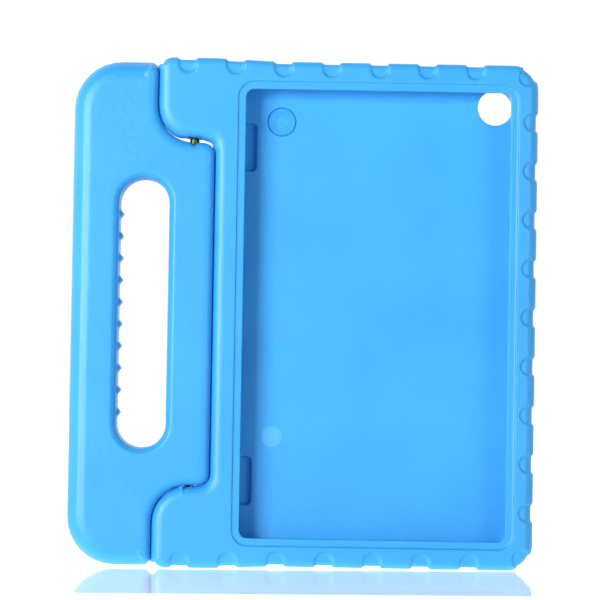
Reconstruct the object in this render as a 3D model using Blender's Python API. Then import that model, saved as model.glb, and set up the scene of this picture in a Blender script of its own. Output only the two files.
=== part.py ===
"""Moulded foam tablet case with a carrying handle that folds back as a stand.

The case stands on its short side: +Z runs up its long side, the tablet goes in from the front at -Y,
and the handle is on the left at -X. The origin is under the middle of the whole object. Everything is
modelled around the middle of the hinge axis, and two empties carry it to its place.
"""

import math

import bmesh
import bpy
from mathutils import Matrix, Vector

# Tablet that the case is made for, and how it sits in the pocket.
TABLET_WIDTH = 0.1280
TABLET_HEIGHT = 0.2140
TABLET_THICKNESS = 0.0097
TABLET_FIT = 0.0003
TABLET_DEPTH_FIT = 0.0005
POCKET_CORNER = 0.0060

# Foam walls of the case.
FLOOR_THICKNESS = 0.0058
LIP_THICKNESS = 0.0040
LIP_OVERHANG = 0.0022
LIP_BAND = 0.0036
LIP_STEP = 0.0006
RIM_WALL = 0.0110
SPINE_WALL = 0.0114
CASE_CORNER = 0.0120
CASE_EDGE = 0.0065
CASE_END_EDGE = 0.0030
SPINE_EDGE_FRONT = 0.0040
SPINE_EDGE_BACK = 0.0020

# Ears of the case that hold the hinge.
EAR_HEIGHT = 0.0364
EAR_REACH = 0.0158
EAR_TIP_CORNER = 0.0050
EAR_EDGE_FRONT = 0.0040
EAR_EDGE_BACK = 0.0045
EAR_FLARE = 0.0012
FLARE_LENGTH = 0.0300
FLARE_LEAD = 0.0120
FLARE_ROUNDING = 0.0600
BAY_CORNER = 0.0038

# Grip notches round the rim, and the two speaker recesses and the camera hole of the floor.
NOTCH_WIDTH = 0.0084
NOTCH_INLAND = 0.0074
NOTCH_DEPTH = 0.0010
NOTCH_PITCH_SIDE = 0.02285
NOTCH_PITCH_END = 0.02250
NOTCH_FROM_SIDE = 0.0302
NOTCH_LEAST_TO_CORNER = 0.0260
NOTCH_LEAST_TO_EAR_TIP = 0.0100
CAMERA_HOLE = 0.0080
CAMERA_TO_WALL = 0.0007
CAMERA_TO_TOP = 0.0002
SPEAKER_LENGTH = 0.0228
SPEAKER_WIDTH = 0.0071
SPEAKER_DEPTH = 0.0030
SPEAKER_CORNER = 0.0020
SPEAKER_FROM_END = 0.0285

# Handle.
HANDLE_SET_BACK = 0.00025
HANDLE_REACH = 0.0568
HANDLE_CORNER = 0.0225
HANDLE_EDGE = 0.0085
HANDLE_TIP_CORNER = 0.0045
SLOT_EDGE = 0.0040
TONGUE_CORNER = 0.0054
OPENING_WIDTH = 0.0232
OPENING_HEIGHT = 0.1262
OPENING_FROM_AXIS = 0.0112
OPENING_CROWN = 0.0004
OPENING_EDGE = 0.0040
RIDGE_PITCH = 0.01035
RIDGE_HEIGHT = 0.0018
RIDGE_BASE = 0.0044
RIDGE_LENGTH = 0.0090

# Clearances between the case and the handle.
BAY_GAP = 0.0008
SLOT_GAP = 0.0014
HINGE_GAP = 0.0016
HANDLE_DROP = 0.0007
SWING_GAP = 0.0009
STOP_GAP = 0.00035
STOP_ANGLE = math.radians(110)

# Hinge hardware: a metal pin turns in a sleeve in each ear and is held by an insert in the handle.
PIN_RADIUS = 0.00225
PIN_CHAMFER = 0.0004
PIN_IN_EAR = 0.0130
PIN_IN_HANDLE = 0.0130
PIN_FIT = 0.0003
PIN_END_ROOM = 0.0012
SLEEVE_WALL = 0.0018
SLEEVE_SET_BACK = 0.0012
SEAT_FIT = 0.0003

# Worked out from the sizes above, around the hinge axis and the middle of the height.
POCKET_WIDTH = TABLET_WIDTH + 2 * TABLET_FIT
POCKET_HEIGHT = TABLET_HEIGHT + 2 * TABLET_FIT
POCKET_DEPTH = TABLET_THICKNESS + TABLET_DEPTH_FIT
CASE_THICKNESS = FLOOR_THICKNESS + POCKET_DEPTH + LIP_THICKNESS
CASE_HALF_HEIGHT = POCKET_HEIGHT / 2 + RIM_WALL
EAR_HALF_HEIGHT = CASE_HALF_HEIGHT + EAR_FLARE
BAY_HALF = CASE_HALF_HEIGHT - EAR_HEIGHT
TONGUE_HALF = BAY_HALF - HINGE_GAP
HANDLE_THICKNESS = CASE_THICKNESS - 2 * HANDLE_SET_BACK
FRONT = -CASE_THICKNESS / 2
BACK = CASE_THICKNESS / 2
FLOOR = BACK - FLOOR_THICKNESS
TONGUE_REACH = HANDLE_THICKNESS / 2
SPINE_X = TONGUE_REACH + BAY_GAP
POCKET_LEFT = SPINE_X + SPINE_WALL
POCKET_RIGHT = POCKET_LEFT + POCKET_WIDTH
CASE_RIGHT = POCKET_RIGHT + RIM_WALL
ARM_INNER = EAR_REACH + SLOT_GAP
ARC_HEIGHT = TONGUE_HALF + ARM_INNER
SLEEVE_RADIUS = PIN_RADIUS + PIN_FIT + SLEEVE_WALL
FLARE_FULL = POCKET_LEFT - FLARE_LEAD
FLARE_START = FLARE_FULL + FLARE_LENGTH
NOTCH_COUNT_SIDE = 1 + 2 * int((CASE_HALF_HEIGHT - NOTCH_LEAST_TO_CORNER) / NOTCH_PITCH_SIDE)
NOTCH_SPAN_END = CASE_RIGHT - NOTCH_FROM_SIDE + EAR_REACH - NOTCH_LEAST_TO_EAR_TIP
NOTCH_COUNT_END = 1 + int(NOTCH_SPAN_END / NOTCH_PITCH_END)
OPENING_RADIUS = (OPENING_WIDTH - OPENING_CROWN) / 2
RIDGE_COUNT = 1 + int((OPENING_HEIGHT - 2 * OPENING_RADIUS - RIDGE_BASE) / RIDGE_PITCH)
HINGE_X = (HANDLE_REACH - CASE_RIGHT) / 2
MIDDLE_Z = EAR_HALF_HEIGHT

# How finely round shapes are stepped, and how far a cutter runs past what it cuts.
ARC_STEP = math.radians(11.25)
EDGE_STEPS = 4
NOTCH_STEPS = 8
SPINDLE_ARC_STEPS = 8
HARDWARE_STEPS = 24
SPINDLE_STEPS = 40
HOLE_STEPS = 40
BARREL_STEPS = 64
SHARP_ANGLE = math.radians(30)
MERGE_DISTANCE = 1e-6
PAST = 0.0030
MOUTH_PAST = 0.0015

FOAM_BLUE = (0.105, 0.525, 0.965, 1.0)
PLASTIC_NATURAL = (0.62, 0.62, 0.58, 1.0)
PIN_YELLOW = (0.50, 0.42, 0.22, 1.0)


def clear_scene():
    for thing in list(bpy.data.objects):
        bpy.data.objects.remove(thing, do_unlink=True)


def material(name, colour, roughness, metallic=0.0):
    made = bpy.data.materials.new(name)
    made.use_nodes = True
    shader = made.node_tree.nodes["Principled BSDF"]
    shader.inputs["Base Color"].default_value = colour
    shader.inputs["Roughness"].default_value = roughness
    shader.inputs["Metallic"].default_value = metallic
    return made


def hinge_empty(name, drop=0.0):
    empty = bpy.data.objects.new(name, None)
    empty.location = (HINGE_X, 0.0, MIDDLE_Z - drop)
    bpy.context.collection.objects.link(empty)
    return empty


def place(name, bm, parent, finish=None):
    """Makes an object of the bmesh, under its empty. One with no finish is a cutter."""
    bmesh.ops.recalc_face_normals(bm, faces=bm.faces)
    mesh = bpy.data.meshes.new(name)
    bm.to_mesh(mesh)
    bm.free()
    made = bpy.data.objects.new(name, mesh)
    bpy.context.collection.objects.link(made)
    made.parent = parent
    if finish is None:
        made.hide_render = True
        made.display_type = "WIRE"
        return made
    mesh.materials.append(finish)
    mesh.shade_smooth()
    mesh.set_sharp_from_angle(angle=SHARP_ANGLE)
    return made


def cut(target, cutter):
    modifier = target.modifiers.new("cut_" + cutter.name, "BOOLEAN")
    modifier.operation = "DIFFERENCE"
    modifier.solver = "EXACT"
    modifier.object = cutter


def rounded_outline(corners):
    """Outline of a plate seen from the front, counter-clockwise, with an arc at each corner.

    A corner is (x, z, radius, front, back), where front and back are the edge roundings of the side that
    leaves it. Each sample is a point, its normal into the plate, and the two edge roundings there.
    """
    samples = []
    count = len(corners)
    for index, (x, z, radius, front, back) in enumerate(corners):
        before = corners[index - 1]
        after = corners[(index + 1) % count]
        corner = Vector((x, z))
        arriving = (corner - Vector(before[:2])).normalized()
        leaving = (Vector(after[:2]) - corner).normalized()
        turn = math.atan2(arriving.cross(leaving), arriving.dot(leaving))
        side = math.copysign(1.0, turn)
        start = corner - arriving * radius * math.tan(abs(turn) / 2)
        inward = Vector((-arriving.y, arriving.x))
        centre = start + inward * radius * side
        steps = max(2, round(abs(turn) / ARC_STEP))
        for step in range(steps + 1):
            share = step / steps
            normal = Matrix.Rotation(turn * share, 2) @ inward
            point = centre - normal * radius * side
            edges = (before[3] * (1 - share) + front * share, before[4] * (1 - share) + back * share)
            samples.append((point, normal, *edges))
    return samples


def soft_plate(samples, front, back, inset=0.0):
    """Closed plate between two depths, whose front and back edges are rounded as the samples say."""
    bm = bmesh.new()
    quarter = [math.pi / 2 * step / EDGE_STEPS for step in range(EDGE_STEPS + 1)]
    rings = []
    for angle in quarter:
        ring = []
        for point, normal, soft, _ in samples:
            soft -= inset
            flat = point + normal * (inset + soft * (1 - math.sin(angle)))
            ring.append(bm.verts.new((flat.x, front + inset + soft * (1 - math.cos(angle)), flat.y)))
        rings.append(ring)
    for angle in reversed(quarter):
        ring = []
        for point, normal, _, soft in samples:
            soft -= inset
            flat = point + normal * (inset + soft * (1 - math.sin(angle)))
            ring.append(bm.verts.new((flat.x, back - inset - soft * (1 - math.cos(angle)), flat.y)))
        rings.append(ring)
    close_rings(bm, rings)
    return bm


def plain_plate(samples, front, back):
    bm = bmesh.new()
    rings = [[bm.verts.new((point.x, depth, point.y)) for point, *_ in samples] for depth in (front, back)]
    close_rings(bm, rings)
    return bm


def flared_plate(samples, depths):
    """Closed plate of rings, each at its own (depth, outward growth)."""
    bm = bmesh.new()
    rings = []
    for depth, growth in depths:
        grown = [point - normal * growth for point, normal, *_ in samples]
        rings.append([bm.verts.new((point.x, depth, point.y)) for point in grown])
    close_rings(bm, rings)
    return bm


def close_rings(bm, rings):
    for near, far in zip(rings, rings[1:]):
        for index in range(len(near)):
            after = (index + 1) % len(near)
            bm.faces.new((near[index], far[index], far[after], near[after]))
    bm.faces.new(rings[0])
    bm.faces.new(reversed(rings[-1]))


def plain_corners(left, right, low, high, radius):
    return [
        (right, high, radius, 0.0, 0.0),
        (left, high, radius, 0.0, 0.0),
        (left, low, radius, 0.0, 0.0),
        (right, low, radius, 0.0, 0.0),
    ]


def turned(bm, profile, steps=HARDWARE_STEPS):
    """Spins a profile of (radius, height) points, which starts and ends on the hinge axis."""
    points = [bm.verts.new((radius, 0.0, height)) for radius, height in profile]
    edges = [bm.edges.new(pair) for pair in zip(points, points[1:])]
    bmesh.ops.spin(
        bm,
        geom=points + edges,
        axis=(0.0, 0.0, 1.0),
        cent=(0.0, 0.0, 0.0),
        angle=math.tau,
        steps=steps,
        use_merge=True,
    )
    bmesh.ops.remove_doubles(bm, verts=bm.verts, dist=MERGE_DISTANCE)


def mirrored(profile, side):
    """The same profile above the middle, side +1, or below it, side -1."""
    return [(radius, height * side) for radius, height in profile]


def case_samples():
    """Outline of the case: a tall plate whose ears reach left past the hinge axis at both ends."""
    rim = (CASE_EDGE, CASE_EDGE)
    end = (CASE_END_EDGE, CASE_END_EDGE)
    ear = (EAR_EDGE_FRONT, EAR_EDGE_BACK)
    spine = (SPINE_EDGE_FRONT, SPINE_EDGE_BACK)
    upper = [
        (CASE_RIGHT, CASE_HALF_HEIGHT, CASE_CORNER, *end),
        (FLARE_START, CASE_HALF_HEIGHT, FLARE_ROUNDING, *end),
        (FLARE_FULL, EAR_HALF_HEIGHT, FLARE_ROUNDING, *end),
        (-EAR_REACH, EAR_HALF_HEIGHT, EAR_TIP_CORNER, *ear),
        (-EAR_REACH, BAY_HALF, EAR_REACH, *ear),
        (SPINE_X, BAY_HALF, BAY_CORNER, *spine),
    ]
    lower = [
        (SPINE_X, -BAY_HALF, BAY_CORNER, *ear),
        (-EAR_REACH, -BAY_HALF, EAR_REACH, *ear),
        (-EAR_REACH, -EAR_HALF_HEIGHT, EAR_TIP_CORNER, *end),
        (FLARE_FULL, -EAR_HALF_HEIGHT, FLARE_ROUNDING, *end),
        (FLARE_START, -CASE_HALF_HEIGHT, FLARE_ROUNDING, *end),
        (CASE_RIGHT, -CASE_HALF_HEIGHT, CASE_CORNER, *rim),
    ]
    return rounded_outline(upper + lower)


def handle_samples():
    """Outline of the handle: a C round both ears, with a tongue that fills the bay between them."""
    grip = (HANDLE_EDGE, HANDLE_EDGE)
    slot = (SLOT_EDGE, SLOT_EDGE)
    upper = [
        (-ARM_INNER, CASE_HALF_HEIGHT, HANDLE_TIP_CORNER, *grip),
        (-HANDLE_REACH, CASE_HALF_HEIGHT, HANDLE_CORNER, *grip),
    ]
    lower = [
        (-HANDLE_REACH, -CASE_HALF_HEIGHT, HANDLE_CORNER, *grip),
        (-ARM_INNER, -CASE_HALF_HEIGHT, HANDLE_TIP_CORNER, *slot),
        (-ARM_INNER, -TONGUE_HALF, ARM_INNER, *slot),
        (TONGUE_REACH, -TONGUE_HALF, TONGUE_CORNER, *slot),
        (TONGUE_REACH, TONGUE_HALF, TONGUE_CORNER, *slot),
        (-ARM_INNER, TONGUE_HALF, ARM_INNER, *slot),
    ]
    return rounded_outline(upper + lower)


def notch(bm, edge_point, inward):
    """One grip notch's prism: a U that ends inland of the rim and is open past its edge."""
    radius = NOTCH_WIDTH / 2
    across = Vector((-inward.y, inward.x))
    centre = edge_point + inward * (NOTCH_INLAND - radius)
    outer = edge_point - inward * PAST
    outline = [outer + across * radius, outer - across * radius]
    for step in range(NOTCH_STEPS + 1):
        angle = math.pi * step / NOTCH_STEPS
        outline.append(centre - across * radius * math.cos(angle) + inward * radius * math.sin(angle))
    rings = [[bm.verts.new((p.x, depth, p.y)) for p in outline] for depth in (FRONT - PAST, BACK + PAST)]
    close_rings(bm, rings)


def rim_level(along):
    """Half height of the case at a place across it: the ends flare out towards the ears."""
    share = (FLARE_START - along) / FLARE_LENGTH
    return CASE_HALF_HEIGHT + EAR_FLARE * min(max(share, 0.0), 1.0)


def notch_cutter(parent):
    """All grip notches, hollowed by the core of the rim so that each is one shallow wrap-round recess."""
    bm = bmesh.new()
    for index in range(NOTCH_COUNT_SIDE):
        height = (index - (NOTCH_COUNT_SIDE - 1) / 2) * NOTCH_PITCH_SIDE
        notch(bm, Vector((CASE_RIGHT, height)), Vector((-1.0, 0.0)))
    for side in (1.0, -1.0):
        for index in range(NOTCH_COUNT_END):
            along = CASE_RIGHT - NOTCH_FROM_SIDE - index * NOTCH_PITCH_END
            notch(bm, Vector((along, rim_level(along) * side)), Vector((0.0, -side)))
        diagonal = Vector((1.0, side)).normalized()
        arc_centre = Vector((CASE_RIGHT - CASE_CORNER, side * (CASE_HALF_HEIGHT - CASE_CORNER)))
        notch(bm, arc_centre + diagonal * CASE_CORNER, -diagonal)
    cutter = place("notch_cutter", bm, parent)
    cut(cutter, place("rim_core", soft_plate(case_samples(), FRONT, BACK, NOTCH_DEPTH), parent))
    return cutter


def upright_prism(points, half_height):
    """Closed prism over (x, y) points, from minus to plus half_height."""
    bm = bmesh.new()
    rings = [[bm.verts.new((x, y, z)) for x, y in points] for z in (-half_height, half_height)]
    close_rings(bm, rings)
    return bm


def swing_cutters(parent, pivot):
    """Room for the handle behind the ears and the spine, up to the stop angle."""
    radius = ARM_INNER - SWING_GAP
    quarter = [math.pi / 2 * step / SPINDLE_ARC_STEPS for step in range(SPINDLE_ARC_STEPS + 1)]
    arc = [(radius * math.sin(angle), ARC_HEIGHT - radius * math.cos(angle)) for angle in quarter]
    profile = arc + [(radius, EAR_HALF_HEIGHT + PAST), (0.0, EAR_HALF_HEIGHT + PAST)]
    spindles = bmesh.new()
    for side in (1.0, -1.0):
        turned(spindles, mirrored(profile, side), SPINDLE_STEPS)
    spindle = place("swing_spindles", spindles, pivot)
    behind = BACK + PAST
    far_left = -EAR_REACH - PAST
    corner = [(far_left, 0.0), (0.0, 0.0), (0.0, behind), (far_left, behind)]
    ear_side = place("swing_ear_side", upright_prism(corner, EAR_HALF_HEIGHT + PAST), parent)
    lean = STOP_ANGLE - math.pi / 2
    face = TONGUE_REACH + STOP_GAP
    stop_foot = (SPINE_X, (SPINE_X * math.cos(lean) - face) / math.sin(lean))
    stop_head = ((face + behind * math.sin(lean)) / math.cos(lean), behind)
    wedge = [(-PAST, stop_foot[1]), stop_foot, stop_head, (-PAST, behind)]
    lift = (BACK + face * math.sin(lean)) / math.cos(lean)
    stop_height = ARC_HEIGHT - math.sqrt(ARM_INNER**2 - lift**2)
    stop_side = place("swing_stop_side", upright_prism(wedge, stop_height), parent)
    for cutter in (ear_side, stop_side):
        cut(cutter, spindle)
    return ear_side, stop_side


def sleeve_profile():
    """Blind sleeve in an ear, from its mouth up."""
    mouth = BAY_HALF + SLEEVE_SET_BACK
    bore = PIN_RADIUS + PIN_FIT
    end = BAY_HALF + PIN_IN_EAR + PIN_END_ROOM
    return [(0.0, end), (bore, end), (bore, mouth), (SLEEVE_RADIUS, mouth),
            (SLEEVE_RADIUS, end + SLEEVE_WALL), (0.0, end + SLEEVE_WALL)]


def insert_profile():
    """Blind insert in the tongue, from its mouth down."""
    mouth = TONGUE_HALF - SLEEVE_SET_BACK
    bore = PIN_RADIUS + PIN_FIT
    end = TONGUE_HALF - PIN_IN_HANDLE - PIN_FIT
    return [(0.0, end), (bore, end), (bore, mouth), (SLEEVE_RADIUS, mouth),
            (SLEEVE_RADIUS, end - SLEEVE_WALL), (0.0, end - SLEEVE_WALL)]


def pin_profile():
    low = TONGUE_HALF - PIN_IN_HANDLE
    high = BAY_HALF + PIN_IN_EAR
    neck = PIN_RADIUS - PIN_CHAMFER
    return [(0.0, low), (neck, low), (PIN_RADIUS, low + PIN_CHAMFER),
            (PIN_RADIUS, high - PIN_CHAMFER), (neck, high), (0.0, high)]


def ear_seat_profile():
    radius = SLEEVE_RADIUS + SEAT_FIT
    end = BAY_HALF + PIN_IN_EAR + PIN_END_ROOM + SLEEVE_WALL + SEAT_FIT
    mouth = BAY_HALF - MOUTH_PAST
    return [(0.0, mouth), (radius, mouth), (radius, end), (0.0, end)]


def tongue_seat_profile():
    radius = SLEEVE_RADIUS + SEAT_FIT
    end = TONGUE_HALF - PIN_IN_HANDLE - PIN_FIT - SLEEVE_WALL - SEAT_FIT
    return [(0.0, TONGUE_HALF + PAST), (radius, TONGUE_HALF + PAST), (radius, end), (0.0, end)]


def both_ends(name, profile, parent):
    """One cutter with the same turned shape at both ends of the axis."""
    bm = bmesh.new()
    for side in (1.0, -1.0):
        turned(bm, mirrored(profile, side))
    return place(name, bm, parent)


def turned_pair(name, profile, parent, finish):
    """Two separate pieces of one turned shape, the upper and the lower."""
    for place_name, side in (("upper", 1.0), ("lower", -1.0)):
        bm = bmesh.new()
        turned(bm, mirrored(profile, side))
        place(place_name + "_" + name, bm, parent, finish)


def make_case(parent, pivot, foam):
    body = place("case_body", soft_plate(case_samples(), FRONT, BACK), parent, foam)
    half = POCKET_HEIGHT / 2
    lip_front = FRONT + LIP_THICKNESS
    pocket = plain_corners(POCKET_LEFT, POCKET_RIGHT, -half, half, POCKET_CORNER)
    cut(body, place("pocket_cutter", plain_plate(rounded_outline(pocket), lip_front, FLOOR), parent))
    low = half - LIP_OVERHANG
    left = POCKET_LEFT + LIP_OVERHANG
    right = POCKET_RIGHT - LIP_OVERHANG
    mouth = rounded_outline(plain_corners(left, right, -low, low, POCKET_CORNER - LIP_OVERHANG))
    halfway = (lip_front + FLOOR) / 2
    cut(body, place("mouth_cutter", plain_plate(mouth, FRONT - PAST, halfway), parent))
    band = [(FRONT - PAST, LIP_BAND), (FRONT + LIP_STEP, LIP_BAND)]
    cut(body, place("lip_step_cutter", flared_plate(mouth, band), parent))
    for side, end in ((1.0, "upper"), (-1.0, "lower")):
        middle = side * (half - SPEAKER_FROM_END)
        recess = plain_corners(POCKET_LEFT + LIP_OVERHANG / 2, POCKET_LEFT + SPEAKER_WIDTH,
                               middle - SPEAKER_LENGTH / 2, middle + SPEAKER_LENGTH / 2, SPEAKER_CORNER)
        plate = plain_plate(rounded_outline(recess), halfway, FLOOR + SPEAKER_DEPTH)
        cut(body, place(end + "_speaker_cutter", plate, parent))
    hole = bmesh.new()
    hole_x = POCKET_RIGHT - CAMERA_HOLE - CAMERA_TO_WALL
    middle = Matrix.Translation((hole_x, BACK, half - CAMERA_HOLE - CAMERA_TO_TOP))
    along_y = Matrix.Rotation(math.pi / 2, 4, "X")
    bmesh.ops.create_cone(hole, cap_ends=True, segments=HOLE_STEPS, radius1=CAMERA_HOLE, radius2=CAMERA_HOLE,
                          depth=2 * FLOOR_THICKNESS + PAST, matrix=middle @ along_y)
    cut(body, place("camera_cutter", hole, parent))
    cut(body, notch_cutter(parent))
    for cutter in swing_cutters(parent, pivot):
        cut(body, cutter)
    cut(body, both_ends("ear_seat_cutter", ear_seat_profile(), parent))


def opening_cutter(parent):
    """The finger opening, with soft mouths front and back and ridges on its outer wall."""
    right = -OPENING_FROM_AXIS
    left = right - OPENING_WIDTH
    half = OPENING_HEIGHT / 2
    capsule = rounded_outline(plain_corners(left, right, -half, half, OPENING_RADIUS))
    face = HANDLE_THICKNESS / 2
    flare = []
    for step in range(EDGE_STEPS):
        angle = math.pi / 2 * step / EDGE_STEPS
        flare.append((face - OPENING_EDGE * (1 - math.sin(angle)), OPENING_EDGE * (1 - math.cos(angle))))
    flare.append((face + PAST, OPENING_EDGE))
    depths = [(-depth, growth) for depth, growth in reversed(flare)] + flare
    opening = place("opening_cutter", flared_plate(capsule, depths), parent)
    ridges = bmesh.new()
    for index in range(RIDGE_COUNT):
        height = (index - (RIDGE_COUNT - 1) / 2) * RIDGE_PITCH
        base = RIDGE_BASE / 2 * (1 + PAST / RIDGE_HEIGHT)
        points = [(left - PAST, height - base), (left + RIDGE_HEIGHT, height), (left - PAST, height + base)]
        rings = [
            [ridges.verts.new((x, depth, z)) for x, z in points]
            for depth in (-RIDGE_LENGTH / 2, RIDGE_LENGTH / 2)
        ]
        close_rings(ridges, rings)
    cut(opening, place("ridge_keeper", ridges, parent))
    return opening


def tongue_cutter(parent):
    """Rounds the back of the tongue about the axis, so that it turns inside the bay."""
    past = TONGUE_REACH + PAST
    corner = [(0.0, 0.0), (past, 0.0), (past, past), (0.0, past)]
    cutter = place("tongue_round", upright_prism(corner, TONGUE_HALF + PAST), parent)
    barrel = bmesh.new()
    reach = TONGUE_HALF + 2 * PAST
    round_back = [(0.0, -reach), (TONGUE_REACH, -reach), (TONGUE_REACH, reach), (0.0, reach)]
    turned(barrel, round_back, BARREL_STEPS)
    cut(cutter, place("tongue_barrel", barrel, parent))
    return cutter


def make_handle(parent, foam):
    face = HANDLE_THICKNESS / 2
    handle = place("handle_stand", soft_plate(handle_samples(), -face, face), parent, foam)
    cut(handle, opening_cutter(parent))
    cut(handle, tongue_cutter(parent))
    cut(handle, both_ends("tongue_seat_cutter", tongue_seat_profile(), parent))


def main():
    clear_scene()
    case_frame = hinge_empty("case_frame")
    handle_pivot = hinge_empty("handle_pivot", HANDLE_DROP)
    make_case(case_frame, handle_pivot, material("case_foam", FOAM_BLUE, 0.75))
    make_handle(handle_pivot, material("handle_foam", FOAM_BLUE, 0.75))
    sleeve = material("sleeve_plastic", PLASTIC_NATURAL, 0.45)
    turned_pair("ear_sleeve", sleeve_profile(), case_frame, sleeve)
    turned_pair("handle_insert", insert_profile(), handle_pivot, sleeve)
    turned_pair("hinge_pin", pin_profile(), handle_pivot, material("pin_steel", PIN_YELLOW, 0.3, 1.0))


main()
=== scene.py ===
# %% [markdown]
# # A moulded foam tablet case with a fold-back handle
#
# The case is two blocks of soft EVA foam joined by a hinge. The working model, made before this
# file, holds their true sizes and the hinge. This file gives every piece its finished shape and
# material. Everything is in metres, +Z is up, and the open front faces -Y.
#
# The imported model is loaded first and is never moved, so all positions below are read from it.

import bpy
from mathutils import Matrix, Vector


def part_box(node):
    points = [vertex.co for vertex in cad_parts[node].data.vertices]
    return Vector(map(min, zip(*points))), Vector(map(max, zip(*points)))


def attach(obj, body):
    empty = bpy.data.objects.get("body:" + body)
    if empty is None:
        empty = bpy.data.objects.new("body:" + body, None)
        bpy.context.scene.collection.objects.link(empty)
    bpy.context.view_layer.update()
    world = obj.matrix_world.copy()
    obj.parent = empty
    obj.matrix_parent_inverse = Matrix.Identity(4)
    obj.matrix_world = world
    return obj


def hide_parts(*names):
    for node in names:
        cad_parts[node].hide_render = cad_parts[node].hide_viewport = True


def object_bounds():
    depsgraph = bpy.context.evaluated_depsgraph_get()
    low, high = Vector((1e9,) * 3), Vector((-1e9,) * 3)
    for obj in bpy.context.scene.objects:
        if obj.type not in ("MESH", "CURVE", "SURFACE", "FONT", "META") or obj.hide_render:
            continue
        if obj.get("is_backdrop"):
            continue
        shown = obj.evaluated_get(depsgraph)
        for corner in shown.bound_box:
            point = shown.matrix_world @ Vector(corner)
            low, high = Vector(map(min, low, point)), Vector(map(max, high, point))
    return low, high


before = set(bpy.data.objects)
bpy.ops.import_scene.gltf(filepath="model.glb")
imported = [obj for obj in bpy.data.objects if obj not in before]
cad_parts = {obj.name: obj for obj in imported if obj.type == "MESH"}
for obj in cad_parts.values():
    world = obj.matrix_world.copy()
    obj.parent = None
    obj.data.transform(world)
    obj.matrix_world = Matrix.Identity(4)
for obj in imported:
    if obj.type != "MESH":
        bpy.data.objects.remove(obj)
working_box = [list(corner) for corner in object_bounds()]

import math

import bmesh
import bpy
import numpy as np
from mathutils import Matrix, Vector
from mathutils.bvhtree import BVHTree

MM = 0.001
print("working model, mm:", [[round(c / MM, 1) for c in corner] for corner in working_box])

# %% [markdown]
# Real moulded foam has no sharp edge anywhere. The working model's edges are crisp and its curves
# are made of short straight steps. One could bevel each edge, but the foam has dozens of them that
# meet in odd corners. Here the solid is remeshed into small even squares, and then smoothed, which
# rounds every edge at once, as a mould does. Smoothing n times moves a point about half the square
# root of n grid steps, so the wanted softness in millimetres gives the number of rounds.

# %% Foam pieces: helpers
GRID = 0.42 * MM
DOUBLES = 0.002 * MM
WEIGHT_STEPS = 8


def link(name, mesh):
    """A new object in the scene, at the origin, so its place is in its mesh."""
    piece = bpy.data.objects.new(name, mesh)
    bpy.context.scene.collection.objects.link(piece)
    return piece


def merged_copy(node, name):
    """A copy of a working solid, with the loose corners of its triangles joined."""
    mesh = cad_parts[node].data.copy()
    mesh.name = name
    mesh.materials.clear()
    shape = bmesh.new()
    shape.from_mesh(mesh)
    bmesh.ops.remove_doubles(shape, verts=shape.verts, dist=DOUBLES)
    shape.to_mesh(mesh)
    shape.free()
    return link(name, mesh)


def apply_modifiers(piece):
    """The mesh becomes what its modifiers make of it, and they are taken off."""
    graph = bpy.context.evaluated_depsgraph_get()
    finished = bpy.data.meshes.new_from_object(piece.evaluated_get(graph))
    old = piece.data
    piece.modifiers.clear()
    piece.data = finished
    bpy.data.meshes.remove(old)
    finished.name = piece.name


def points_of(piece):
    """The corners of the mesh as rows of x, y, z."""
    flat = np.empty(len(piece.data.vertices) * 3, np.float32)
    piece.data.vertices.foreach_get("co", flat)
    return flat.reshape(-1, 3).astype(float)


def remesh(piece):
    """The solid rebuilt from even squares, GRID across."""
    grid = piece.modifiers.new("grid", "REMESH")
    grid.mode = "VOXEL"
    grid.voxel_size = GRID
    apply_modifiers(piece)
    print(piece.name, "remeshed:", len(piece.data.vertices), "corners")


def soften(piece, softness, group=""):
    """Smooths the mesh, so that edges get a radius near this softness in metres."""
    smooth = piece.modifiers.new("soften", "SMOOTH")
    smooth.factor = 0.5
    smooth.iterations = max(1, round(4 * (softness / GRID) ** 2))
    smooth.vertex_group = group
    apply_modifiers(piece)
    print(piece.name, "softened by", round(softness / MM, 2), "mm in", group or "all", "places")


def weigh(piece, group, weights):
    """A vertex group whose weights are rounded to a few steps, which is quick to fill."""
    found = piece.vertex_groups.new(name=group)
    levels = np.round(np.clip(weights, 0, 1) * WEIGHT_STEPS).astype(int)
    for level in range(WEIGHT_STEPS + 1):
        members = np.flatnonzero(levels == level)
        found.add(members.tolist(), level / WEIGHT_STEPS, "REPLACE")


def note_rub(piece, before):
    """Keeps how far each corner was pressed in by smoothing: most on outer edges, least in nooks."""
    flat = np.empty(len(before) * 3, np.float32)
    piece.data.vertices.foreach_get("normal", flat)
    pressed = ((before - points_of(piece)) * flat.reshape(-1, 3)).sum(1)
    rub = piece.data.attributes.new("rub", "FLOAT", "POINT")
    rub.data.foreach_set("value", (pressed / MM).astype(np.float32))
    print(piece.name, "pressed in by up to", round(float(pressed.max()) / MM, 2), "mm")


def thin(piece, triangles):
    """Fewer triangles where the foam is flat, as many as needed where it curves."""
    piece.data.calc_loop_triangles()
    ratio = triangles / len(piece.data.loop_triangles)
    if ratio < 1:
        thinner = piece.modifiers.new("thin", "DECIMATE")
        thinner.ratio = ratio
        thinner.use_collapse_triangulate = True
        apply_modifiers(piece)
    piece.data.shade_smooth()
    print(piece.name, "has", len(piece.data.polygons), "faces")


def fade(distance, width):
    """1 at no distance, 0 from this width on, with a soft slope between."""
    share = np.clip(1 - distance / width, 0, 1)
    return share * share * (3 - 2 * share)


# %% [markdown]
# The case is a tray: a thick rim with a raised lip, a pocket that holds the tablet, and a rounded
# ear at each end that carries the hinge pin. The broad edges are very soft, but the lip's step
# and the edge of the window are moulded crisply, so those two are left out of the strong smoothing
# and get only a light one.

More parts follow.
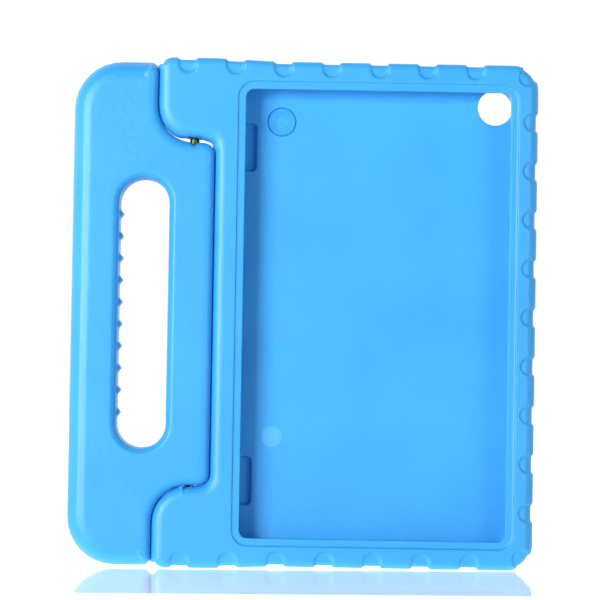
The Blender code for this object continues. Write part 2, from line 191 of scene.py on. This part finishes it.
# %% The case: soft rim, crisp lip
CASE_SOFTNESS = 0.75 * MM
CRISP_SOFTNESS = 0.25 * MM
WINDOW_LOW = Vector((-28.2, 0, 14.4)) * MM
WINDOW_HIGH = Vector((96.0, 0, 224.6)) * MM
STEP_OUT = 3.6 * MM
LIP_REACH = 2.6 * MM
LIP_BLEND = 2 * MM
FRONT_KEPT = 2 * MM
FRONT_BLEND = 3 * MM

case = merged_copy("case_body", "moulded_case")
remesh(case)
place = points_of(case)
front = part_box("case_body")[0].y
beyond_x = np.maximum(WINDOW_LOW.x - place[:, 0], place[:, 0] - WINDOW_HIGH.x)
beyond_z = np.maximum(WINDOW_LOW.z - place[:, 2], place[:, 2] - WINDOW_HIGH.z)
from_window = np.maximum(beyond_x, beyond_z)
near_lip = fade(np.abs(from_window - STEP_OUT / 2) - STEP_OUT / 2 - LIP_REACH, LIP_BLEND)
near_front = fade(place[:, 1] - front - FRONT_KEPT, FRONT_BLEND)
weigh(case, "broad", 1 - near_lip * near_front)
soften(case, CASE_SOFTNESS, "broad")
soften(case, CRISP_SOFTNESS)
note_rub(case, place)

# %% [markdown]
# The handle is a thick bow of the same foam. Its tongue fits between the ears, its finger opening
# has grip ridges, and those ridges come to a clear point, so they get only the light smoothing.
# Under the upper pin the tongue's end is pulled into a small dip, which is pressed in afterwards
# by moving the corners there, like a thumb in clay.

# %% The handle: soft bow, pointed ridges
RIDGE_WALL_X = -86.8 * MM
RIDGE_MIDDLE_IN = 1 * MM
RIDGE_HALF_DEPTH = 1.6 * MM
RIDGE_HALF_LENGTH = 52 * MM
RIDGE_BLEND = 2 * MM
HANDLE_MIDDLE_Z = 118.8 * MM
DIP_HALF_WIDTH = 2.4 * MM
DIP_HALF_HEIGHT = 4 * MM
DIP_DEPTH = 1.0 * MM
TONGUE_TOP_Z = 199.1 * MM
HANDLE_TRIANGLES = 120000

handle = merged_copy("handle_stand", "moulded_handle")
remesh(handle)
place = points_of(handle)
past_wall = np.abs(place[:, 0] - RIDGE_WALL_X - RIDGE_MIDDLE_IN) - RIDGE_HALF_DEPTH
past_ridges = np.abs(place[:, 2] - HANDLE_MIDDLE_Z) - RIDGE_HALF_LENGTH
weigh(handle, "broad", 1 - fade(np.maximum(past_wall, past_ridges), RIDGE_BLEND))
soften(handle, CASE_SOFTNESS, "broad")
soften(handle, CRISP_SOFTNESS)
note_rub(handle, place)
place = points_of(handle)
pin_low, pin_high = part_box("upper_hinge_pin")
across = np.abs(place[:, 0] - (pin_low.x + pin_high.x) / 2)
below = np.abs(place[:, 2] - TONGUE_TOP_Z)
on_tongue = place[:, 0] > RIDGE_WALL_X
dip = DIP_DEPTH * fade(across, DIP_HALF_WIDTH) * fade(below, DIP_HALF_HEIGHT) * on_tongue
place[:, 2] -= dip
handle.data.vertices.foreach_set("co", place.astype(np.float32).ravel())
thin(handle, HANDLE_TRIANGLES)

# %% [markdown]
# The two foam blocks are moulded to fit closely, so from the front the slot between them is only
# a thin dark line. The working model leaves more room there. The front of the case's wall is let
# out towards the handle until a hair's breadth is left: a ray cast from inside the case finds its
# own wall and then the handle's wall, and the difference is the room. Only the front is let out,
# because the handle folds to the back. That is not quite enough: with the handle folded right
# back, the two foam pieces still touch a little along the slot.

# %% Close the slot
SLOT_DEEP = 0.04 * MM
SLOT_MOUTH = 0.50 * MM
MOST_LET_OUT = 1.9 * MM
SLOT_RIGHT_X = -38.0 * MM
CAST_Y = -3.0 * MM
CAST_INSIDE = 0.5 * MM
OWN_WALL_WITHIN = 8 * MM
OTHER_WALL_WITHIN = 12 * MM
WALL_TOO_FAR = 7 * MM
LET_OUT_FROM = 1.2 * MM
LET_OUT_OVER = 1.6 * MM
MOUTH_FROM = 4.8 * MM
MOUTH_OVER = 2 * MM


def normals_of(piece):
    """The direction each corner faces, as rows of x, y, z."""
    flat = np.empty(len(piece.data.vertices) * 3, np.float32)
    piece.data.vertices.foreach_get("normal", flat)
    return flat.reshape(-1, 3).astype(float)


def room_ahead(own, others, place, outward):
    """The room between this piece's wall and the other's, looking outward from inside it."""
    start = Vector((place[0], CAST_Y, place[2])) - CAST_INSIDE * outward
    mine = own.ray_cast(start, outward, OWN_WALL_WITHIN)[3] or 0.0
    theirs = others.ray_cast(start, outward, OTHER_WALL_WITHIN)[3]
    if theirs is None or mine > WALL_TOO_FAR:
        return 0.0
    return min(theirs - mine, MOST_LET_OUT)


def let_out(piece, other):
    """Moves the front of the piece's walls towards the other, up to a thin slot."""
    graph = bpy.context.evaluated_depsgraph_get()
    own, others = BVHTree.FromObject(piece, graph), BVHTree.FromObject(other, graph)
    pin = (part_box("upper_hinge_pin")[0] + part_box("upper_hinge_pin")[1]) / 2
    place, facing = points_of(piece), normals_of(piece)
    sideways = np.hypot(facing[:, 0], facing[:, 2])
    in_front = np.clip((-LET_OUT_FROM - place[:, 1]) / LET_OUT_OVER, 0, 1)
    left_open = SLOT_DEEP + SLOT_MOUTH * (1 - fade(-MOUTH_FROM - place[:, 1], MOUTH_OVER))
    near = (place[:, 0] < SLOT_RIGHT_X) & (in_front > 0) & (sideways > 0.02)
    amounts = np.zeros(len(place))
    for index in np.flatnonzero(near):
        outward = Vector((facing[index, 0], 0, facing[index, 2])).normalized()
        amounts[index] = room_ahead(own, others, place[index], outward)
    under_ear = np.clip(-facing[:, 2] / (sideways + 1e-9) / 0.3 - 2.2, 0, 1)
    under_ear *= place[:, 2] > pin.z / 2
    beside_pin = fade(np.abs(place[:, 0] - pin.x) / 9, 1 * MM) * under_ear
    amounts = np.maximum(amounts - left_open, 0) * in_front * (1 - beside_pin)
    place[:, 0] += amounts * facing[:, 0]
    place[:, 2] += amounts * facing[:, 2]
    piece.data.vertices.foreach_set("co", place.astype(np.float32).ravel())
    piece.data.update()
    print(piece.name, "let out by up to", round(float(amounts.max()) / MM, 2), "mm")


let_out(case, handle)

# %% [markdown]
# Some details are finer than the grid: the hairline groove round the lip, and the round mark
# and plug the mould leaves in the pocket's floor. They are cut or added with exact solids. Each
# cutter is a ring with a diamond section, so it leaves a V groove or a low ridge.

# %% Fine details: groove and mould marks
GROOVE_WIDTH = 0.65 * MM
GROOVE_DEPTH = 0.55 * MM
LIP_Y = -9.4 * MM
FLOOR_Y = 4.2 * MM
WINDOW_CORNER = 3.8 * MM
CORNER_STEPS = 10
CASE_TRIANGLES = 170000
RING_STEPS = 64


def outline_ring(shape, low, high, radius, y):
    """A closed loop of edges: a rectangle with round corners, facing the front."""
    corners = [(low.x, low.z), (high.x, low.z), (high.x, high.z), (low.x, high.z)]
    made = [shape.verts.new((x, y, z)) for x, z in corners]
    face = shape.faces.new(made)
    bmesh.ops.bevel(shape, geom=made, offset=radius, offset_type="OFFSET", segments=CORNER_STEPS,
                    profile=0.5, material=-1, affect="VERTICES")
    face = [f for f in shape.faces if all(abs(v.co.y - y) < 1e-9 for v in f.verts)][0]
    edges = list(face.edges)
    bmesh.ops.delete(shape, geom=[face], context="FACES_ONLY")
    return edges


def diamond_frame(name, low, high, radius, y, wide, deep):
    """A ring round a rectangle, with a diamond section, centred on depth y."""
    shape = bmesh.new()
    loops = []
    for grow, step in ((wide / 2, 0), (0, deep), (-wide / 2, 0), (0, -deep)):
        out = Vector((grow, 0, grow))
        loops.append(outline_ring(shape, low - out, high + out, radius + grow, y + step))
    for one, other in zip(loops, loops[1:] + loops[:1]):
        bmesh.ops.bridge_loops(shape, edges=one + other)
    return solid(shape, name)


def diamond_ring(name, x, y, z, radius, wide, deep):
    """A round ring with a diamond section."""
    shape = bmesh.new()
    section = ((radius - wide / 2, 0), (radius, deep), (radius + wide / 2, 0), (radius, -deep))
    made = [shape.verts.new((x + r, y + d, z)) for r, d in section]
    edges = [shape.edges.new((made[i], made[(i + 1) % 4])) for i in range(4)]
    bmesh.ops.spin(shape, geom=made + edges, cent=(x, y, z), axis=(0, 1, 0), angle=2 * math.pi,
                   steps=RING_STEPS, use_merge=True)
    return solid(shape, name)


def solid(shape, name):
    """A helper object from a closed shape, with its faces turned outwards."""
    bmesh.ops.remove_doubles(shape, verts=shape.verts, dist=0.0005 * MM)
    bmesh.ops.recalc_face_normals(shape, faces=shape.faces)
    mesh = bpy.data.meshes.new(name)
    shape.to_mesh(mesh)
    shape.free()
    return link(name, mesh)


def carve(piece, tool, operation="DIFFERENCE"):
    """Cuts the tool out of the piece, or adds it, and throws the tool away."""
    cut = piece.modifiers.new("cut", "BOOLEAN")
    cut.operation = operation
    cut.solver = "MANIFOLD"
    cut.object = tool
    before = len(piece.data.polygons)
    apply_modifiers(piece)
    bpy.data.objects.remove(tool)
    print(piece.name, operation.lower(), "faces", before, "->", len(piece.data.polygons))


step_out = Vector((STEP_OUT, 0, STEP_OUT))
thin(case, CASE_TRIANGLES)
carve(case, diamond_frame("groove", WINDOW_LOW - step_out, WINDOW_HIGH + step_out,
                          WINDOW_CORNER + STEP_OUT, LIP_Y, GROOVE_WIDTH, GROOVE_DEPTH))

# %% [markdown]
# In the pocket's floor the mould leaves a round mark with finer rings inside, a paler disc where
# the foam was let in, and a few pin-sized vents. The disc is a very low cylinder, and its corners
# get a value of 1 in an attribute, which the material reads to make it paler.

# %% Mould marks in the pocket's floor
MARK_X, MARK_Z = -11.4 * MM, 210.5 * MM
MARK_RADIUS = 6.6 * MM
MARK_GROOVE = (0.75 * MM, 0.9 * MM)
INNER_RINGS = (5.5 * MM, 4.4 * MM, 3.2 * MM)
INNER_RIDGE = (0.6 * MM, 0.22 * MM)
DISC_X, DISC_Z, DISC_RADIUS = -13.9 * MM, 61.6 * MM, 4.85 * MM
DISC_HEIGHT = 0.15 * MM
VENTS = ((-0.2, 206.4), (42.8, 132.3), (58.0, 157.9), (23.4, 199.5))
VENT_RADIUS = 0.38 * MM
VENT_DEPTH = 0.6 * MM
PAST = 1 * MM
CAMERA_X, CAMERA_Z, CAMERA_RADIUS = 89.55 * MM, 219.0 * MM, 8.3 * MM
HOLE_LEAD = 0.7 * MM
SHARP_FROM = math.radians(24)


def round_peg(name, x, z, radius, front_y, back_y, steps):
    """A short cylinder along y."""
    shape = bmesh.new()
    place = Matrix.Translation((x, (front_y + back_y) / 2, z))
    place = place @ Matrix.Rotation(math.pi / 2, 4, "X")
    bmesh.ops.create_cone(shape, cap_ends=True, segments=steps, radius1=radius, radius2=radius,
                          depth=back_y - front_y, matrix=place)
    return solid(shape, name)


carve(case, diamond_ring("mark", MARK_X, FLOOR_Y, MARK_Z, MARK_RADIUS, *MARK_GROOVE))
for radius in INNER_RINGS:
    ring = diamond_ring("fine_ring", MARK_X, FLOOR_Y, MARK_Z, radius, *INNER_RIDGE)
    carve(case, ring, "UNION")
for x, z in VENTS:
    vent = round_peg("vent", x * MM, z * MM, VENT_RADIUS, FLOOR_Y - PAST, FLOOR_Y + VENT_DEPTH, 10)
    carve(case, vent)
hole_front, hole_back = FLOOR_Y - HOLE_LEAD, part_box("case_body")[1].y + PAST
carve(case, round_peg("hole", CAMERA_X, CAMERA_Z, CAMERA_RADIUS, hole_front, hole_back, 96))
disc = round_peg("disc", DISC_X, DISC_Z, DISC_RADIUS, FLOOR_Y - DISC_HEIGHT, FLOOR_Y + PAST, 48)
carve(case, disc, "UNION")

place = points_of(case)
off_centre = np.hypot(place[:, 0] - DISC_X, place[:, 2] - DISC_Z)
at_top = np.abs(place[:, 1] - FLOOR_Y + DISC_HEIGHT) < 0.02 * MM
on_disc = (off_centre < DISC_RADIUS + 0.01 * MM) & at_top
pale = case.data.attributes.new("pale", "FLOAT", "POINT")
pale.data.foreach_set("value", on_disc.astype(np.float32))
print("corners on the disc:", int(on_disc.sum()))
for piece in (case, handle):
    piece.data.shade_smooth()
    piece.data.set_sharp_from_angle(angle=SHARP_FROM)

# %% [markdown]
# EVA foam is a skin of tiny closed cells. Close up it has a fine pebbled grain and a faint orange
# peel, its colour drifts a little over a hand's width, and edges that are handled a lot turn a
# touch paler and smoother. The pattern could be painted, but a procedural one needs no unwrapping:
# it reads object coordinates in metres, so a noise scale of 1000 gives grains a millimetre apart.

# %% Foam material


def node(tree, kind, **settings):
    """A new shader node with these input values or properties."""
    made = tree.nodes.new(kind)
    for name, value in settings.items():
        key = name.replace("_", " ")
        if key in made.inputs:
            made.inputs[key].default_value = value
        else:
            setattr(made, name, value)
    return made


def blank_material(name):
    """A material with one Principled shader, and its parts."""
    material = bpy.data.materials.new(name)
    material.use_nodes = True
    tree = material.node_tree
    return material, tree, tree.nodes["Principled BSDF"]


def noise(tree, scale, detail=2.0, roughness=0.5):
    """A noise pattern on object coordinates, with this many waves to the metre."""
    where = tree.nodes.new("ShaderNodeTexCoord")
    pattern = node(tree, "ShaderNodeTexNoise", Scale=scale, Detail=detail, Roughness=roughness)
    tree.links.new(where.outputs["Object"], pattern.inputs["Vector"])
    return pattern.outputs["Fac"]


def ranged(tree, source, low, high, out_low, out_high):
    """The source, from low to high, spread over another range."""
    spread = node(tree, "ShaderNodeMapRange")
    ends = {"From Min": low, "From Max": high, "To Min": out_low, "To Max": out_high}
    for socket, value in ends.items():
        spread.inputs[socket].default_value = value
    tree.links.new(source, spread.inputs["Value"])
    return spread.outputs["Result"]


def mixed(tree, share, first, second):
    """Two colours mixed by a share. Either may be a socket or a plain colour."""
    mix = node(tree, "ShaderNodeMix", data_type="RGBA")
    for socket, value in ((mix.inputs[0], share), (mix.inputs[6], first), (mix.inputs[7], second)):
        if isinstance(value, bpy.types.NodeSocket):
            tree.links.new(value, socket)
        else:
            socket.default_value = value
    return mix.outputs[2]


def bumped(tree, height, distance, under=None):
    """A bump of this height in metres, on top of another bump."""
    bump = node(tree, "ShaderNodeBump", Strength=1.0, Distance=distance)
    tree.links.new(height, bump.inputs["Height"])
    if under:
        tree.links.new(under, bump.inputs["Normal"])
    return bump.outputs["Normal"]


def foam_material(name, body, pale, deep):
    """Closed-cell foam: grain, orange peel, drifting colour, paler rubbed edges."""
    material, tree, shader = blank_material(name)
    rub = node(tree, "ShaderNodeAttribute", attribute_name="rub").outputs["Fac"]
    drift = ranged(tree, noise(tree, 22, 3), 0.35, 0.65, 0, 1)
    mottle = ranged(tree, noise(tree, 260, 4, 0.6), 0.3, 0.7, 0, 1)
    grain = noise(tree, 1500, 3, 0.6)
    colour = mixed(tree, drift, body, deep)
    speck = mixed(tree, ranged(tree, mottle, 0, 1, 0.0, 0.16), colour, deep)
    worn = mixed(tree, ranged(tree, rub, 0.05, 0.8, 0, 0.5), speck, pale)
    disc = node(tree, "ShaderNodeAttribute", attribute_name="pale").outputs["Fac"]
    colour = mixed(tree, ranged(tree, disc, 0, 1, 0, 0.8), worn, pale)
    tree.links.new(colour, shader.inputs["Base Color"])
    tree.links.new(ranged(tree, grain, 0.2, 0.8, 0.36, 0.52), shader.inputs["Roughness"])
    peel = bumped(tree, noise(tree, 330, 3), 0.10 * MM)
    tree.links.new(bumped(tree, grain, 0.05 * MM, peel), shader.inputs["Normal"])
    shader.inputs["Specular IOR Level"].default_value = 0.5
    shader.inputs["Sheen Weight"].default_value = 0.03
    shader.inputs["Sheen Roughness"].default_value = 0.5
    return material


BLUE = (0.034, 0.356, 0.780, 1)
BLUE_DEEP = (0.028, 0.330, 0.745, 1)
BLUE_PALE = (0.090, 0.440, 0.880, 1)

foam_blue = foam_material("foam_blue", BLUE, BLUE_PALE, BLUE_DEEP)
for piece, body, stands_for, finish in (
    (case, "case", "case_body", "case_foam"),
    (handle, "handle", "handle_stand", "handle_foam"),
):
    piece.data.materials.clear()
    piece.data.materials.append(foam_blue)
    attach(piece, body)
    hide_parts(stands_for)
print("foam pieces:", case.name, handle.name)

# %% [markdown]
# The hinge hardware keeps its working shape, because a turned pin and a short tube are already
# right as plain round solids. What they need is a finish. The pins are steel with a yellowish
# zinc coating, and drawing the wire leaves fine lines along it. Their colour is made much darker
# and greener than that coating: painted shade from the dim slot and a painted reflection of the
# blue foam around them. The sleeves are natural nylon.

# %% Hinge hardware materials
# The pin colours are darker and greener than the coating: painted shade of the slot and a painted
# reflection of the blue foam.
STEEL_GREEN_PAINTED_SHADE, STEEL_OLIVE_PAINTED_SHADE = (0.030, 0.075, 0.030, 1), (0.075, 0.120, 0.050, 1)
NYLON_MILKY, NYLON_SHADED = (0.74, 0.73, 0.68, 1), (0.66, 0.65, 0.60, 1)
ALONG_WIRE = (1, 1, 0.03)


def steel_material(name):
    """Zinc-coated drawn wire with lines along it; its patchy olive colour is darkened as painted
    shade and greened as a painted reflection of the blue foam.
    """
    material, tree, shader = blank_material(name)
    where = tree.nodes.new("ShaderNodeTexCoord")
    stretch = node(tree, "ShaderNodeMapping")
    stretch.inputs["Scale"].default_value = ALONG_WIRE
    tree.links.new(where.outputs["Object"], stretch.inputs["Vector"])
    lines = node(tree, "ShaderNodeTexNoise", Scale=5000, Detail=2)
    tree.links.new(stretch.outputs["Vector"], lines.inputs["Vector"])
    cast = ranged(tree, noise(tree, 400, 3), 0.35, 0.65, 0, 1)
    colour = mixed(tree, cast, STEEL_GREEN_PAINTED_SHADE, STEEL_OLIVE_PAINTED_SHADE)
    tree.links.new(colour, shader.inputs["Base Color"])
    gloss = ranged(tree, lines.outputs["Fac"], 0.3, 0.7, 0.22, 0.42)
    tree.links.new(gloss, shader.inputs["Roughness"])
    tree.links.new(bumped(tree, lines.outputs["Fac"], 0.01 * MM), shader.inputs["Normal"])
    shader.inputs["Metallic"].default_value = 0.85
    return material


def nylon_material(name):
    """Natural nylon: milky, a little waxy, with faint flow marks."""
    material, tree, shader = blank_material(name)
    flow = ranged(tree, noise(tree, 180, 4), 0.3, 0.7, 0, 1)
    colour = mixed(tree, flow, NYLON_MILKY, NYLON_SHADED)
    tree.links.new(colour, shader.inputs["Base Color"])
    tree.links.new(ranged(tree, flow, 0, 1, 0.35, 0.5), shader.inputs["Roughness"])
    tree.links.new(bumped(tree, noise(tree, 1200, 2), 0.01 * MM), shader.inputs["Normal"])
    shader.inputs["Subsurface Weight"].default_value = 0.1
    return material


steel = steel_material("coated_steel_painted_shade")
nylon = nylon_material("natural_nylon")
HARDWARE = {
    "upper_hinge_pin": steel,
    "lower_hinge_pin": steel,
    "upper_ear_sleeve": nylon,
    "lower_ear_sleeve": nylon,
    "upper_handle_insert": nylon,
    "lower_handle_insert": nylon,
}
for name, finish in HARDWARE.items():
    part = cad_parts[name]
    for slot in part.material_slots:
        slot.material = finish
print("finished hardware:", len(HARDWARE))

# %% [markdown]
# The case stands on its two ears and one far corner, so the table is a hair off the case's own
# level. The table is polished white, and its shine gives a pale reflection near the foam. A real
# polished table reflects evenly. To make the reflection fade as it leaves the foam, this one also
# glows, in strips set by the distance in front of the case. That is a trick for the front view:
# from other sides the strips show on the table as white and grey bands.

# %% Table
TABLE_HALF = 3.0
FOOT_X = -42.0 * MM
CORNER_X, CORNER_Z = 97.0 * MM, 1.2 * MM
TABLE_SINK = 0.02 * MM
TABLE_WHITE = (0.72, 0.72, 0.72, 1)
TABLE_ROUGHNESS = 0.04
GLOWS = ((-1e4, 1e4, 0.06), (-131, -13, 0.20), (-13, 14, 1.0), (-165, -132, 1.0))
slope = math.atan2(CORNER_Z, CORNER_X - FOOT_X)

top = bmesh.new()
bmesh.ops.create_grid(top, x_segments=1, y_segments=1, size=TABLE_HALF)
bmesh.ops.rotate(top, verts=top.verts, cent=(0, 0, 0), matrix=Matrix.Rotation(-slope, 3, "Y"))
bmesh.ops.translate(top, verts=top.verts, vec=(0, 0, -FOOT_X * math.tan(slope) - TABLE_SINK))
table_mesh = bpy.data.meshes.new("table")
top.to_mesh(table_mesh)
top.free()
table = link("table", table_mesh)

polish, tree, shader = blank_material("polished_white")
shader.inputs["Base Color"].default_value = TABLE_WHITE
shader.inputs["Roughness"].default_value = TABLE_ROUGHNESS
where = tree.nodes.new("ShaderNodeTexCoord")
split = tree.nodes.new("ShaderNodeSeparateXYZ")
tree.links.new(where.outputs["Object"], split.inputs[0])
shader.inputs["Emission Color"].default_value = (1, 1, 1, 1)
total = None
for near, far, strength in GLOWS:
    rise = ranged(tree, split.outputs["Y"], (near - 1) * MM, near * MM, 0, strength)
    fall = ranged(tree, split.outputs["Y"], far * MM, (far + 1) * MM, 1, 0)
    strip = node(tree, "ShaderNodeMath", operation="MULTIPLY_ADD")
    tree.links.new(rise, strip.inputs[0])
    tree.links.new(fall, strip.inputs[1])
    strip.inputs[2].default_value = 0
    if total:
        tree.links.new(total, strip.inputs[2])
    total = strip.outputs[0]
tree.links.new(total, shader.inputs["Emission Strength"])
table.data.materials.append(polish)
table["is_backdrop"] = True
print("table slope, degrees:", round(math.degrees(slope), 2))

# %% [markdown]
# A pale room, brighter behind the case than in front, gives the base light. The camera sees it as
# plain white. A soft box at the front left draws the shapes: it leaves a shadow under the left
# lip and a bright line on every edge that faces it. A weak one at the right lifts the far side.

# %% Light
scene = bpy.context.scene
scene.view_settings.view_transform = "Standard"
ROOM_FRONT = 0.06
ROOM_BACK = 1.5
BACKDROP = 1.05
LIGHT_TARGET = (0, 0, 0.12)


def aim(item, place, target):
    """Puts a light at a place and turns it to face a target."""
    item.location = place
    item.rotation_euler = (Vector(target) - Vector(place)).to_track_quat("-Z", "Y").to_euler()


def soft_box(name, place, size, power):
    """A square studio light, size metres across."""
    lamp = bpy.data.lights.new(name, "AREA")
    lamp.size = size
    lamp.energy = power
    item = link(name, lamp)
    aim(item, place, LIGHT_TARGET)
    print(name, "gives", power, "W")


room = bpy.data.worlds.new("white_room")
room.use_nodes = True
scene.world = room
air = room.node_tree
surround = air.nodes["Background"]
where = air.nodes.new("ShaderNodeTexCoord")
split = air.nodes.new("ShaderNodeSeparateXYZ")
air.links.new(where.outputs["Generated"], split.inputs[0])
room_level = ranged(air, split.outputs["Y"], -0.3, 0.5, ROOM_FRONT, ROOM_BACK)
path = air.nodes.new("ShaderNodeLightPath")
level = air.nodes.new("ShaderNodeMix")
level.inputs["B"].default_value = BACKDROP
air.links.new(path.outputs["Is Camera Ray"], level.inputs["Factor"])
air.links.new(room_level, level.inputs["A"])
air.links.new(level.outputs["Result"], surround.inputs["Strength"])
surround.inputs["Color"].default_value = (1, 1, 1, 1)

soft_box("key_light", (-1.35, -1.73, 0.30), 0.95, 66)
soft_box("right_fill", (1.40, -1.60, 0.40), 0.9, 11)

# %% [markdown]
# The camera stands about 1.1 m in front, a little below the middle of the case, with a long lens,
# so the case keeps its true shape. The camera's axes are built from its yaw, pitch and roll.

# %% Camera
EYE = Vector((-3.5, -1130.4, 96.4)) * MM
YAW, PITCH, ROLL = (math.radians(a) for a in (0.10, 1.51, 0.96))
LENS_MM, SENSOR_MM = 144, 36
ahead = Vector((
    math.sin(YAW) * math.cos(PITCH),
    math.cos(YAW) * math.cos(PITCH),
    math.sin(PITCH),
))
right = ahead.cross(Vector((0, 0, 1))).normalized()
up = right.cross(ahead)
right, up = (
    math.cos(ROLL) * right + math.sin(ROLL) * up,
    -math.sin(ROLL) * right + math.cos(ROLL) * up,
)
lens = bpy.data.cameras.new("camera")
lens.lens = LENS_MM
lens.sensor_width = SENSOR_MM
lens.clip_start = 0.01
lens.clip_end = 50
camera = link("camera", lens)
turned = Matrix((right, up, -ahead)).transposed().to_4x4()
camera.matrix_world = Matrix.Translation(EYE) @ turned
scene.camera = camera
print("camera stands at, mm:", [round(c / MM) for c in EYE])

# %% [markdown]
# Last come the checks: the finished pieces have to fill the same box as the working model.

# %% Measure and finish
finished_box = [list(corner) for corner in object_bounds()]
for axis in range(3):
    grown = [finished_box[end][axis] - working_box[end][axis] for end in (0, 1)]
    print("xyz"[axis], "ends moved, mm:", [round(g / MM, 2) for g in grown])
